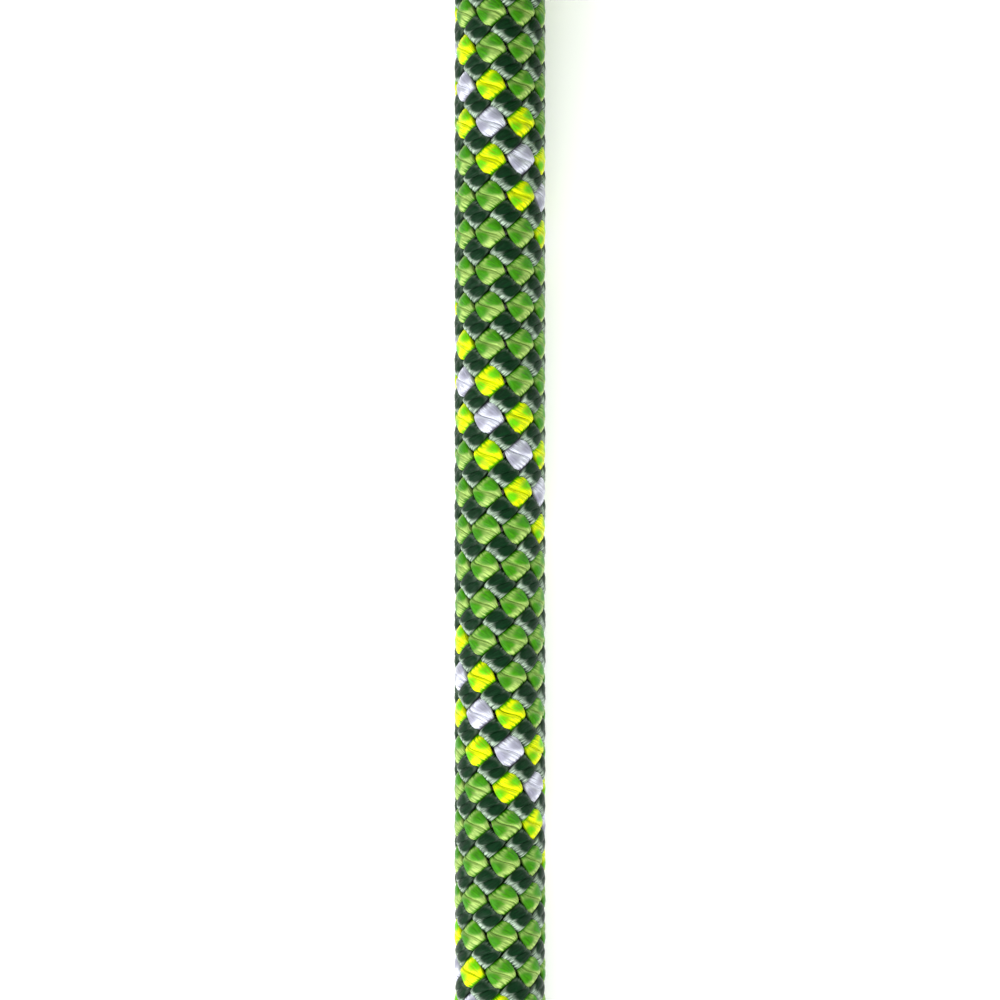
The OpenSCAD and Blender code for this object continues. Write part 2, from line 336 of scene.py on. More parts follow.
class Finish:
    """A node material: its nodes are added and joined by short calls."""

    def __init__(self, name, roughness, **sockets):
        self.material = bpy.data.materials.new(name)
        self.material.use_nodes = True
        self.tree = self.material.node_tree
        self.shader = self.tree.nodes["Principled BSDF"]
        self.shader.inputs["Roughness"].default_value = roughness
        for socket, value in sockets.items():
            self.shader.inputs[socket.replace("_", " ")].default_value = value

    def node(self, kind, **settings):
        made = self.tree.nodes.new("ShaderNode" + kind)
        for key, value in settings.items():
            setattr(made, key, value)
        return made

    def feed(self, socket, value):
        """Joins an output to a socket, or sets the socket to a plain value."""
        if isinstance(value, bpy.types.NodeSocket):
            self.tree.links.new(value, socket)
        else:
            socket.default_value = value

    def math(self, operation, *values, clamp=False):
        made = self.node("Math", operation=operation, use_clamp=clamp)
        for socket, value in zip(made.inputs, values):
            self.feed(socket, value)
        return made.outputs[0]

    def mix(self, factor, first, second, blend="MIX"):
        made = self.node("Mix", data_type="RGBA", blend_type=blend)
        self.feed(made.inputs["Factor"], factor)
        self.feed(made.inputs["A"], first)
        self.feed(made.inputs["B"], second)
        return made.outputs["Result"]

    def ramp(self, value, low, high, to_low=0.0, to_high=1.0):
        """Value carried smoothly from low..high to to_low..to_high and held beyond."""
        made = self.node("MapRange", interpolation_type="SMOOTHSTEP", clamp=True)
        self.feed(made.inputs["Value"], value)
        made.inputs["From Min"].default_value = low
        made.inputs["From Max"].default_value = high
        made.inputs["To Min"].default_value = to_low
        made.inputs["To Max"].default_value = to_high
        return made.outputs["Result"]

    def noise(self, vector, scale, detail=2.0):
        made = self.node("TexNoise")
        self.feed(made.inputs["Vector"], vector)
        made.inputs["Scale"].default_value = scale
        made.inputs["Detail"].default_value = detail
        return made.outputs["Fac"]

    def stretched(self, vector, scale):
        made = self.node("Mapping")
        self.feed(made.inputs["Vector"], vector)
        made.inputs["Scale"].default_value = scale
        return made.outputs["Vector"]

    def bump(self, height, distance, strength=1.0):
        made = self.node("Bump")
        self.feed(made.inputs["Height"], height)
        made.inputs["Distance"].default_value = distance
        made.inputs["Strength"].default_value = strength
        self.feed(self.shader.inputs["Normal"], made.outputs["Normal"])

    def object_place(self):
        return self.node("TexCoord").outputs["Object"]

    def run(self):
        """The piece's own UV: along the piece, and across or round it."""
        return self.node("UVMap", uv_map="run").outputs["UV"]

    def parts(self, vector):
        """The three numbers of a vector."""
        split = self.node("SeparateXYZ")
        self.feed(split.inputs[0], vector)
        return split.outputs

    def base(self, colour):
        self.feed(self.shader.inputs["Base Color"], colour)


def shade(colour, share=1.0):
    """A colour made darker or lighter, with its alpha."""
    return tuple(min(1.0, share * part) for part in colour[:3]) + (1.0,)


def float_colour(finish, over, ahead, side, yarn, colours, streak):
    """Colour along one float of a yarn. over is 1 at its crown and 0 where it dives under;
    ahead is -1 at its nearer end and +1 at its farther; side is -1 at the groove between the
    strand's two yarns and 1 at the strand's edge.

    From the gap inwards it is painted nearly black as painted shade, then the yarn's own deep
    colour, then pale with a painted sheen where the filaments turn down, brightest at the nearer
    end, and deep again in a rounded patch over the crown. It is darkened with painted shade at the
    groove between its yarns and at the strand's edge. Streaks fray every edge."""
    look = FLOATS[yarn]
    core = getattr(colours, yarn + "_core")
    # The pale colour is a painted sheen on the float's bends.
    pale = getattr(colours, yarn + "_painted_sheen")
    frayed = finish.math("MULTIPLY_ADD", finish.math("SUBTRACT", streak, 0.5), PATCH_FRAY, over)
    shifted = finish.math("MULTIPLY_ADD", ahead, PATCH_AHEAD, frayed)
    from_patch = finish.math("SUBTRACT", side, look["patch_side"])
    squared_away = finish.math("MULTIPLY", from_patch, from_patch)
    rounded = finish.math("MULTIPLY_ADD", squared_away, -PATCH_ROUND, shifted)
    off_crown = finish.ramp(rounded, look["patch"] + PATCH_BLUR, look["patch"] - PATCH_BLUR)
    # Painted highlight: the sheen is brightest at the float's nearer end, as if lit from that side.
    nearer = finish.ramp(ahead, 0.35, -0.35, look["far_sheen"], 1.0)
    tip = finish.ramp(frayed, 0.0, 0.34)
    lines = finish.ramp(streak, 0.42, 0.58, 1.0 - look["fray"], 1.0)
    painted_sheen = off_crown
    for part in (nearer, tip, lines):
        painted_sheen = finish.math("MULTIPLY", painted_sheen, part)
    colour = finish.mix(painted_sheen, shade(core), shade(pale))
    # Painted shade: darker at the groove between the yarns, at the strand's edge and where the
    # float dives, towards a dim copy of its deep colour.
    groove = finish.ramp(finish.math("ABSOLUTE", side), 0.8, 1.0, 0.0, 0.55)
    gap = finish.math("MAXIMUM", finish.ramp(over, 0.10, -0.15), groove)
    return finish.mix(gap, colour, shade(core, look["gap"]))


def toned(finish, colour, streak, low, high):
    """A colour made darker and lighter along the filaments."""
    scaled = finish.node("VectorMath", operation="SCALE")
    finish.feed(scaled.inputs[0], colour)
    finish.feed(scaled.inputs["Scale"], finish.ramp(streak, 0.3, 0.7, low, high))
    return scaled.outputs[0]


def yarn_finish(yarn, colours):
    """Glossy filament yarn for the separate strands, read from their lie attribute and their
    UV: fine streaks run with the filaments."""
    finish = Finish(yarn + " yarn", 0.36, Specular_IOR_Level=GLOSS[yarn])
    lie = finish.node("Attribute", attribute_name="lie").outputs["Vector"]
    side, ahead, over = finish.parts(lie)
    streak = finish.noise(finish.stretched(finish.run(), (0.35, 9.0, 1.0)), 2.0, 4.0)
    # The colour holds a painted sheen on each float's bends and painted shade where it dives and at
    # the strand's edges.
    colour = float_colour(finish, over, ahead, side, yarn, colours, streak)
    finish.base(toned(finish, colour, streak, 0.62, 1.25))
    finish.bump(streak, 0.12 * MM, 0.7)
    return finish.material


def braid_finish(name, colours):
    """The hank's rope: its braid is read from a UV that counts crossings round and along.

    A strand of one hand keeps the same half sum of the two counts, and one of the other hand
    the same half difference. Rounding both gives the strand on top and the place on it."""
    finish = Finish(name, 0.4, Specular_IOR_Level=0.3)
    round_it, along, _ = finish.parts(finish.run())
    halves = []
    for operation, first, second in (("ADD", round_it, along), ("SUBTRACT", along, round_it)):
        half = finish.math("MULTIPLY", finish.math(operation, first, second), 0.5)
        strand = finish.math("FLOOR", finish.math("ADD", half, 0.5))
        halves.append((strand, finish.math("SUBTRACT", half, strand)))
    (light, light_side), (dark, dark_side) = halves
    is_dark = finish.math(
        "GREATER_THAN",
        finish.math("FLOORED_MODULO", finish.math("ADD", light, dark), 2.0),
        0.5,
    )

    def pick(first, second):
        return finish.math("MULTIPLY_ADD", finish.math("SUBTRACT", second, first), is_dark, first)

    across = finish.math("ABSOLUTE", pick(light_side, dark_side))
    ahead_half = pick(dark_side, light_side)
    over = finish.math("COSINE", finish.math("MULTIPLY", ahead_half, 1.05 * math.pi))
    ahead = finish.math("MULTIPLY", ahead_half, 2.0)
    side = finish.math("MULTIPLY_ADD", across, 4.0, -1.0)
    streak = finish.noise(finish.run(), 2.5, 3.0)
    # Each yarn's colour holds the painted sheen and painted shade of float_colour.
    shades = {
        yarn: float_colour(finish, over, ahead, side, yarn, colours, streak) for yarn in YARNS
    }
    strand = finish.math("FLOORED_MODULO", light, float(STRANDS_EACH_WAY))
    from_white = finish.math("ABSOLUTE", finish.math("SUBTRACT", strand, float(WHITE_STRAND)))
    is_lime = finish.math("COMPARE", from_white, 1.0, 0.1)
    is_white = finish.math("LESS_THAN", from_white, 0.5)
    colour = finish.mix(is_lime, shades["green"], shades["lime"])
    colour = finish.mix(is_white, colour, shades["white"])
    finish.base(finish.mix(is_dark, colour, shades["dark"]))
    bulge = finish.math("SUBTRACT", 1.0, finish.math("POWER", side, 2.0))
    height = finish.math("ADD", finish.math("MULTIPLY", over, 0.6), bulge)
    finish.bump(height, 0.25 * MM, 0.9)
    return finish.material


def speckled_finish(name, colour, roughness, grain, depth, spread=0.25, **sockets):
    """Plain moulded or fused plastic: a fine grain in its colour and its surface."""
    finish = Finish(name, roughness, **sockets)
    speck = finish.noise(finish.object_place(), 1.0 / grain, 3.0)
    cloud = finish.noise(finish.object_place(), 0.12 / grain, 2.0)
    tone = finish.ramp(finish.math("ADD", speck, cloud), 0.6, 1.4)
    finish.base(finish.mix(tone, shade(colour, 1.0 - spread), shade(colour, 1.0 + spread)))
    rougher = finish.ramp(cloud, 0.3, 0.7, roughness, roughness * 1.25)
    finish.feed(finish.shader.inputs["Roughness"], rougher)
    finish.bump(speck, depth)
    return finish.material


def plied_finish(name, colour, lay, plies):
    """Twisted yarn on a straight strand: ridges climb along Y as they go across X and Z."""
    finish = Finish(name, 0.5, Sheen_Weight=0.3)
    x, y, z = finish.parts(finish.object_place())
    turned = finish.math("MULTIPLY_ADD", finish.math("ADD", x, z), 2.2, y)
    phase = finish.math("MULTIPLY", turned, 2 * math.pi * plies / lay)
    ridge = finish.math("ABSOLUTE", finish.math("SINE", phase))
    # Painted shade: the colour is halved in the troughs between the plies, where the ridges are
    # low.
    finish.base(finish.mix(ridge, shade(colour, 0.5), shade(colour)))
    finish.bump(ridge, 0.12 * MM)
    return finish.material


def webbing_finish(name, colour):
    """Woven strap, read from a UV in millimetres: herringbone ribs along it, and picks
    across them."""
    rib_gap, pick_gap = 1.3, 1.1
    finish = Finish(name, 0.6, Sheen_Weight=0.35)
    along, across, _ = finish.parts(finish.run())
    ribs = finish.math("MULTIPLY", across, math.pi / rib_gap)
    rib = finish.math("ABSOLUTE", finish.math("SINE", ribs))
    lean = finish.math("MULTIPLY", finish.math("PINGPONG", across, rib_gap), 0.8)
    picks = finish.math("MULTIPLY", finish.math("ADD", along, lean), 2 * math.pi / pick_gap)
    pick = finish.math("MULTIPLY_ADD", finish.math("SINE", picks), 0.35, 0.65)
    height = finish.math("MULTIPLY", rib, pick)
    # Painted shade and painted highlight: the colour goes from 0.3 of the webbing's colour in the
    # weave's hollows to 3.2 times it on its raised ribs and picks.
    finish.base(finish.mix(height, shade(colour, 0.3), shade(colour, 3.2)))
    finish.bump(height, 0.2 * MM)
    return finish.material


# ---- The braid

# Light strands are counted so that this one is white and its two neighbours are lime.
WHITE_STRAND = 6
WHITE_CROWN = 20
# How far short of the zero crossing the view's middle lies.
VIEW_SHIFT = 0.864 * MM
# Degrees per millimetre that the whole braid turns, and what is added towards the free end.
SLOW_TWIST = 0.05
FAST_TWIST = 0.46


def braid_zero(sizes):
    """Place along Y of the braid's zero crossing."""
    return BRAID_START + CROSSINGS_BACK * sizes.turn / CROSSINGS


def view_y(sizes):
    """Middle of the straight length that is looked at."""
    return braid_zero(sizes) - VIEW_SHIFT


def braid_twist(y, sizes):
    """Angle, from the top towards +X, of the braid's column of crowns nearest the top.

    It leans slowly all along the rope, and faster from a little past the view's middle
    towards the free end: a soft ramp, the logarithm of one plus an exponential, joins the
    two rates."""
    bend, blend = 6.0, 5.0
    from_middle = (y - view_y(sizes)) / MM
    slow = -13.3 - SLOW_TWIST * (40.0 - from_middle)
    fast = -FAST_TWIST * blend * np.logaddexp(0.0, (bend - from_middle) / blend)
    return np.radians(slow + fast)


def squared(wave, power=0.6):
    """A sine or cosine filled out towards a square wave: its size to a low power."""
    return np.sign(wave) * np.abs(wave) ** power


def strand_yarn(sizes, hand, strand, side, jitter):
    """Rings of one yarn, its UV and its lie.

    Along the strand the crossing count n runs at an even step. The strand's middle is at
    n crossings along the rope; its angle is its own place round the rope, plus or minus a
    sixteenth of a turn for every crossing, plus the braid's twist. It rises and sinks by a
    cosine of pi n, up at even counts for light strands and at odd ones for dark. The yarn
    lies beside that middle, and its section is a squared ellipse across the strand."""
    sides, per_crossing = 12, 8
    pitch = sizes.turn / CROSSINGS
    first = -CROSSINGS_BACK
    last = (BRAID_END + sizes.detailed_end - braid_zero(sizes)) / pitch
    n = np.linspace(first, last, int((last - first) * per_crossing) + 1)
    over = -hand * np.cos(np.pi * n)
    ahead = -hand * np.sin(np.pi * n)
    lay = math.atan(2 * math.pi * sizes.strand_middle / sizes.turn)
    height = np.tanh(sizes.plateau * over) / math.tanh(sizes.plateau)
    rise = sizes.strand_middle + sizes.weave * height
    family = "light" if hand < 0 else "dark"
    half, taper, stand, slant = (
        getattr(sizes, f"{family}_{key}") for key in ("half", "taper", "stand", "groove")
    )
    strand_half = half + taper * over
    groove = slant * ahead
    overlap, crown = 0.04 * MM, 0.06 * MM
    half_width = (strand_half - side * groove) / 2 + overlap
    half_height = sizes.yarn_height / 2 + sizes.yarn_swell * over
    slip = jitter.normal(0, sizes.sway, 3)
    sway = slip[0] * np.sin(0.21 * n) + slip[1] * np.sin(0.47 * n + 1.0)
    offset = (side * strand_half + groove) / 2 - stand * ahead + sway
    phi = np.linspace(0, 2 * np.pi, sides, endpoint=False)
    across = offset[:, None] + half_width[:, None] * squared(np.cos(phi))
    lift = half_height[:, None] * squared(np.sin(phi))
    # The outer edges of a strand are pulled in a little, so that it crowns.
    lift = lift - crown * (across / half) ** 2
    y = braid_zero(sizes) + n[:, None] * pitch - across * math.sin(lay)
    y = np.clip(y, BRAID_START, None)
    turn = n[:, None] * 2 * np.pi / CROSSINGS + across * math.cos(lay) / sizes.strand_middle
    angle = 2 * np.pi / STRANDS_EACH_WAY * strand + hand * turn + braid_twist(y, sizes)
    radius = rise[:, None] + lift
    rings = np.stack([AXIS_X + radius * np.sin(angle), y, AXIS_Z + radius * np.cos(angle)], axis=-1)
    run = (n - first) * pitch / math.cos(lay) / MM
    up = np.abs(phi / np.pi - 1) + 3 * strand + side
    uv = np.stack([np.repeat(run, sides), np.tile(up, len(n))], axis=-1)
    lie = [np.tile(side * np.cos(phi), len(n)), np.repeat(ahead, sides), np.repeat(over, sides)]
    return rings, uv, np.stack(lie, axis=-1)


def strand_skin(sizes, hand, strand, jitter):
    """Points, faces, UV, lie and map for baking of a strand: two yarns with closed ends."""
    strips = 6
    skin = {key: [] for key in ("points", "quads", "triangles", "uv", "lie")}
    walls, lids = [], []
    start = 0
    for side in (-1, 1):
        rings, uv, lie = strand_yarn(sizes, hand, strand, side, jitter)
        rows, sides = rings.shape[:2]
        quads, triangles = tube_faces(rows, sides, start)
        skin["points"] += [rings.reshape(-1, 3), rings[[0, -1]].mean(axis=1)]
        skin["quads"].append(quads)
        skin["triangles"].append(triangles)
        skin["uv"] += [uv, uv[[0, -1]]]
        skin["lie"] += [lie, lie[[0, -1]]]
        first = strips if side > 0 else 0
        for parts, counts, each in zip((walls, lids), corner_counts(rows, sides), (4, 3)):
            parts.append(strip_map(counts, each, rows, sides, strips, first, 2 * strips))
        start += rows * sides + 2
    skin["baked"] = walls + lids
    return {key: np.concatenate(parts) for key, parts in skin.items()}


# ---- The hank

ROUTE_STEP = 2 * MM


def hank_zone(zone, offset, q, hank):
    """Points of one pass through a zone of the hank, as (y, z), q running from 0 to 1.

    lower: straight along the bottom towards the near hub. near and far: a circle of the
    fold's radius plus the offset round a hub, from the bottom to where the upper leg leaves
    it, or back. upper: a straight line down, a circle of the dip's radius less the offset,
    and a straight line up to the far hub."""
    fold = hank.fold_ratio * ROPE_D
    slope = hank.dip_slope
    leg = FAR_Y - NEAR_Y
    drop = 2 * fold - ROPE_D
    radii = (leg / 2 * math.sin(slope) - drop * math.cos(slope)) / (1 - math.cos(slope))
    dip = radii - fold
    dip_z = HUB_Z - fold + ROPE_D + dip
    around = fold + offset
    if zone == "lower":
        return FAR_Y - leg * q, HUB_Z - around
    if zone == "near":
        turn = q * (np.pi + slope)
        return NEAR_Y - around * np.sin(turn), HUB_Z - around * np.cos(turn)
    if zone == "far":
        turn = q * (np.pi + slope) - slope
        return FAR_Y + around * np.sin(turn), HUB_Z + around * np.cos(turn)
    inner = dip - offset
    high_y = NEAR_Y + around * math.sin(slope)
    high_z = HUB_Z + around * math.cos(slope)
    low_y = WAIST_Y - inner * math.sin(slope)
    low_z = dip_z - inner * math.cos(slope)
    line = np.hypot(low_y - high_y, low_z - high_z)
    arc = 2 * slope * inner
    s = q * (2 * line + arc)
    down = np.clip(s / line, 0, 1)
    turn = np.clip((s - line) / inner, 0, 2 * slope) - slope
    up = np.clip((s - line - arc) / line, 0, 1)
    y = WAIST_Y + inner * np.sin(turn) - (low_y - high_y) * (1 - down) + (low_y - high_y) * up
    z = dip_z - inner * np.cos(turn) - (low_z - high_z) * (1 - down) + (high_z - low_z) * up
    return y, z


def hank_passes(hank):
    """The passes from the rope's tail to its lead, as (zone, layer, next layer, column, next
    column). The tail's own column is 0.

    Even layers are wound outwards from the tail, a column further on in each upper leg. Odd
    layers come back, a column in each lower leg. The rope climbs to the next layer in the
    near fold at the lead's side and in the far fold at the tail's."""
    top = hank.layers - 1
    passes = [("lower", top, top, 0, 0), ("near", top, 0, 0, 0), ("upper", 0, 0, 0, 1)]

    def stay(layer, column, *zones):
        passes.extend((zone, layer, layer, column, column) for zone in zones)

    for layer in range(hank.layers):
        if layer % 2 == 0:
            for column in range(1, COLUMNS):
                if column > 1 or layer == 0:
                    stay(layer, column, "far")
                stay(layer, column, "lower", "near")
                passes.append(("upper", layer, layer, column, column + 1))
            stay(layer, COLUMNS, "far", "lower")
            if layer < top:
                passes.append(("near", layer, layer + 1, COLUMNS, COLUMNS))
        else:
            stay(layer, COLUMNS, "upper", "far")
            for column in range(COLUMNS - 1, 0, -1):
                passes.append(("lower", layer, layer, column + 1, column))
                stay(layer, column, "near", "upper")
                passes.append(("far", layer, layer + (column == 1), column, column))
    return passes


def eased(q):
    """Smooth step from 0 to 1: three squares less two cubes."""
    return q * q * (3 - 2 * q)


def hank_route(sizes, hank):
    """Centreline of the plain rope, from the straight length's end through the hank to the
    tail's tip, at an even spacing."""
    q = np.linspace(0, 1, 64, endpoint=False)
    parts = []
    for zone, layer, next_layer, column, next_column in hank_passes(hank):
        offset = (layer + (next_layer - layer) * eased(q)) * ROPE_D
        across = TAIL_X - (column + (next_column - column) * eased(q)) * ROPE_D
        y, z = hank_zone(zone, offset, q, hank)
        parts.append(np.stack([across, y + 0 * q, z + 0 * q], axis=-1))
    begin = BRAID_END + sizes.detailed_end
    y = np.linspace(begin, NEAR_Y, 12, endpoint=False)
    down = AXIS_Z + (ROPE_R - AXIS_Z) * eased((y - begin) / (NEAR_Y - begin))
    lead = np.stack([np.full_like(y, AXIS_X), y, down], axis=-1)
    y = np.linspace(FAR_Y, float(TAIL_SLEEVE_HIGH[1]), 24)
    up = ROPE_R + (AXIS_Z - ROPE_R) * eased((y - FAR_Y) / (y[-1] - FAR_Y))
    tail = np.stack([np.full_like(y, TAIL_X), y, up], axis=-1)
    route = np.concatenate([lead, np.concatenate(parts)[::-1], tail])

    # Squeeze under the tie: the legs lie within the strap, fully near the waist.
    fully, fading = 8 * MM, 26 * MM
    away = np.clip((np.abs(route[:, 1] - WAIST_Y) - fully) / fading, 0, 1)
    squeeze = (1 - eased(away)) * hank.strap_thickness
    middle = (HANK_LOW[0] + HANK_HIGH[0]) / 2
    half = (HANK_HIGH[0] - HANK_LOW[0]) / 2
    height = STRAP_HIGH[2] - 2 * hank.strap_thickness
    route[:, 0] -= squeeze * (route[:, 0] - middle) / half
    route[:, 2] += squeeze * np.clip(1 - route[:, 2] / height, 0, 1)
    return evenly(route, ROUTE_STEP)


def run_along(route):
    """Distance along a route at each of its points."""
    gaps = np.linalg.norm(np.diff(route, axis=0), axis=1)
    return np.concatenate([[0], np.cumsum(gaps)])


def sampled(parts, run, at):
    """Each part's vectors, read at other distances along a route."""
    return (np.stack([np.interp(at, run, part[:, k]) for k in range(3)], axis=-1) for part in parts)


def evenly(route, step):
    """The same line with its points an even distance apart."""
    gaps = np.linalg.norm(np.diff(route, axis=0), axis=1)
    route = route[np.concatenate([[True], gaps > 1e-7])]
    run = run_along(route)
    at = np.linspace(0, run[-1], int(run[-1] / step) + 1)
    return next(sampled([route], run, at))


def wandered(route, amount, seed):
    """The route, strayed sideways by a smooth, seeded wave that fades at both ends."""
    knot_gap, smoothed, faded = 70 * MM, 35, 80
    source = np.random.default_rng(seed)
    run = np.linspace(0, 1, len(route))
    knots = max(8, int(len(route) * ROUTE_STEP / knot_gap))
    wave = np.interp(run * knots, np.arange(knots + 1), source.normal(0, 1, knots + 1))
    kernel = np.hanning(smoothed)
    wave = np.convolve(wave, kernel / kernel.sum(), mode="same")
    fade = np.clip(np.minimum(run, 1 - run) * len(route) / faded, 0, 1)
    moved = route.copy()
    moved[:, 0] += amount * wave * fade
    return moved


def route_frames(route):
    """Two normals along a route that lies nearly in planes of constant X: the X axis less
    its part along the tangent, and the cross product of that and the tangent."""
    tangents = np.gradient(route, axis=0)
    tangents /= np.linalg.norm(tangents, axis=1)[:, None]
    side = np.array([1.0, 0.0, 0.0]) - tangents[:, :1] * tangents
    side /= np.linalg.norm(side, axis=1)[:, None]
    return side, np.cross(side, tangents)


def plain_rope_rings(route, sizes, first_count, first_twist):
    """Rings of braided rope in relief, one for every crossing of a strand along the route.

    Sixteen points go round, one for every strand. Those whose count round and count along
    are both even, or both odd, are crowns, and the rest are hollows. The whole braid turns
    slowly at the straight length's rate."""
    pitch = sizes.turn / CROSSINGS
    run = run_along(route)
    count = int(run[-1] / pitch)
    at = np.arange(count + 1) * pitch
    centre, side, up = sampled([route, *route_frames(route)], run, at)
    up /= np.linalg.norm(up, axis=1)[:, None]
    side /= np.linalg.norm(side, axis=1)[:, None]
    round_count = np.arange(CROSSINGS)
    along_count = first_count + np.arange(count + 1)
    twist = first_twist + np.radians(SLOW_TWIST) * at / MM
    angle = round_count * 2 * np.pi / CROSSINGS + twist[:, None]
    hollow = (round_count + along_count[:, None]) % 2
    radius = (ROPE_R - sizes.valley * hollow)[..., None]
    ways = side[:, None] * np.sin(angle)[..., None] + up[:, None] * np.cos(angle)[..., None]
    return centre[:, None] + radius * ways, centre, along_count


# ---- Operators


CAMERA_HEIGHT = 0.4488
FLOOR_HALF = 6.0
# Each light's name, direction from the rope, distance, size and power.
LIGHTS = (
    ("left", (-0.75, -0.45, 0.62), 0.9, 0.6, 6.0),
    ("near", (-0.1, -1.0, 0.42), 0.9, 0.6, 5.0),
    ("right", (0.9, 0.3, 0.6), 1.0, 0.6, 3.5),
    ("above", (-0.1, 0.3, 1.0), 1.2, 0.8, 3.5),
)


def settings():
    scene = bpy.context.scene
    return scene.rope_sizes, scene.hank_sizes, scene.rope_colours


def finish_node(name, material):
    """Gives a shown CAD node its material."""
    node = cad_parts[name]
    node.data.materials.clear()
    node.data.materials.append(material)


def placed(name, data, location=(0.0, 0.0, 0.0), rotation=(0.0, 0.0, 0.0)):
    """A new object in the scene."""
    made = bpy.data.objects.new(name, data)
    made.location = location
    made.rotation_euler = rotation
    bpy.context.scene.collection.objects.link(made)
    return made


class ROPE_OT_stage(Operator):
    """Camera, lights and the pale floor"""

    bl_idname = "rope.stage"
    bl_label = "Stage"

    def execute(self, context):
        sizes, _, colours = settings()
        scene = context.scene
        scene.view_settings.view_transform = "Standard"
        scene.view_settings.look = "None"
        target = np.array([AXIS_X, view_y(sizes), AXIS_Z])
        camera = bpy.data.cameras.new("camera")
        camera.lens = 150.0
        camera.sensor_width = 36.0
        camera.clip_start = 0.01
        scene.camera = placed("camera", camera, target + (0.0, 0.0, CAMERA_HEIGHT))

        corners = FLOOR_HALF * np.array([(-1, -1, 0), (1, -1, 0), (1, 1, 0), (-1, 1, 0)])
        mesh = bpy.data.meshes.new("floor")
        mesh.from_pydata(corners.tolist(), [], [(0, 1, 2, 3)])
        finish = Finish("floor paper", 0.9, Emission_Color=shade((1, 1, 1)), Emission_Strength=0.4)
        cloud = finish.noise(finish.object_place(), 4.0)
        finish.base(finish.mix(cloud, shade(colours.floor), shade(colours.floor, 0.985)))
        mesh.materials.append(finish.material)
        placed("floor", mesh)

        world = bpy.data.worlds.new("studio")
        world.use_nodes = True
        background = world.node_tree.nodes["Background"]
        background.inputs["Color"].default_value = shade((1, 1, 1))
        background.inputs["Strength"].default_value = 0.4
        scene.world = world

        for name, direction, distance, size, power in LIGHTS:
            light = bpy.data.lights.new(name, "AREA")
            light.size = size
            light.energy = power
            way = np.array(direction) / np.linalg.norm(direction)
            # A tilt down from overhead, then a turn about Z, points it back at the rope.
            turn = (math.acos(way[2]), 0.0, math.atan2(way[0], -way[1]))
            placed(name, light, target + way * distance, turn)
        return {"FINISHED"}


class ROPE_OT_ends(Operator):
    """Shrunk sleeves and melted tips at both ends"""

    bl_idname = "rope.ends"
    bl_label = "Rope ends"

    def execute(self, context):
        sizes, _, colours = settings()
        plastic = speckled_finish("shrunk sleeve", colours.sleeve, 0.38, 0.25 * MM, 0.03 * MM)
        melted = speckled_finish(
            "melted tip", colours.melted, 0.25, 0.7 * MM, 0.25 * MM, 0.6, Coat_Weight=0.15
        )
        for name, low, high, x in (
            ("end_sleeve", SLEEVE_LOW, SLEEVE_HIGH, AXIS_X),
            ("tail_sleeve", TAIL_SLEEVE_LOW, TAIL_SLEEVE_HIGH, TAIL_X),
        ):
            points, quads = self.sleeve(sizes, x, float(low[1]), float(high[1]))
            piece = add_piece(name + "_shrunk", plastic, "sleeve_plastic", points, quads)
            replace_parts(piece, name)
        finish_node("end_tip", melted)
        finish_node("tail_tip", melted)
        return {"FINISHED"}

    def sleeve(self, sizes, x, low, high):
        """A tube that follows the braid under it. Round it and along it the outer radius
        sinks by a product of two cosines, one per crown round and one per crown along, and
        both rims roll in to the inner radius."""
        rows, sides = 90, 96
        rim, dent, rim_wall = 0.5 * MM, 0.06 * MM, 0.25
        outer = float(SLEEVE_HIGH[0] - SLEEVE_LOW[0]) / 2
        inner = ROPE_R + 0.03 * MM
        s = np.linspace(0, 1, rows)
        around = np.linspace(0, 2 * np.pi, sides, endpoint=False)
        y = low + (high - low) * s
        count = (y - braid_zero(sizes)) / (sizes.turn / CROSSINGS)
        crown_angle = around - braid_twist(y, sizes)[:, None]
        crowns = np.cos(np.pi * count)[:, None] * np.cos(STRANDS_EACH_WAY * crown_angle)
        from_rim = np.clip(np.minimum(s, 1 - s) * (high - low) / rim, 0, 1)
        roll = np.sqrt(1 - (1 - from_rim) ** 2)[:, None]
        wall = (outer - inner - dent * (1 - crowns)) * (rim_wall + (1 - rim_wall) * roll)
        ways = np.stack([np.sin(around), np.zeros(sides), np.cos(around)], axis=-1)
        centre = np.stack([np.full_like(y, x), y, np.full_like(y, AXIS_Z)], axis=-1)
        skin = centre[:, None] + (inner + wall)[..., None] * ways
        lining = centre[::-1, None] + inner * ways
        return np.concatenate([skin, lining]).reshape(-1, 3), loop_faces(2 * rows, sides)


class ROPE_OT_sheath(Operator):
    """The sixteen sheath strands of the straight length, two yarns in each"""

    bl_idname = "rope.sheath"
    bl_label = "Sheath strands"

    def execute(self, context):
        sizes, _, colours = settings()
        finishes = {yarn: yarn_finish(yarn, colours) for yarn in YARNS}
        slots = dict(zip(YARNS, ("green_yarn", "lime_yarn", "white_yarn", "dark_green_yarn")))
        jitter = np.random.default_rng(7)
        strands = {}
        for index in range(STRANDS_EACH_WAY):
            beside = index - WHITE_STRAND
            light = {0: "white", -1: "lime", 1: "lime"}.get(beside, "green")
            for hand, family, yarn in ((-1, "light", light), (1, "dark", "dark")):
                name = f"{family}_strand_{index + 1}"
                place = beside + WHITE_CROWN / 2 if hand < 0 else index
                skin = strand_skin(sizes, hand, place, jitter)
                piece = add_piece(name + "_yarns", finishes[yarn], slots[yarn], **skin)
                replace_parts(piece, name)
                strands[name] = piece
        declared = strands.pop(f"light_strand_{WHITE_STRAND + 1}")
        return {"FINISHED"}


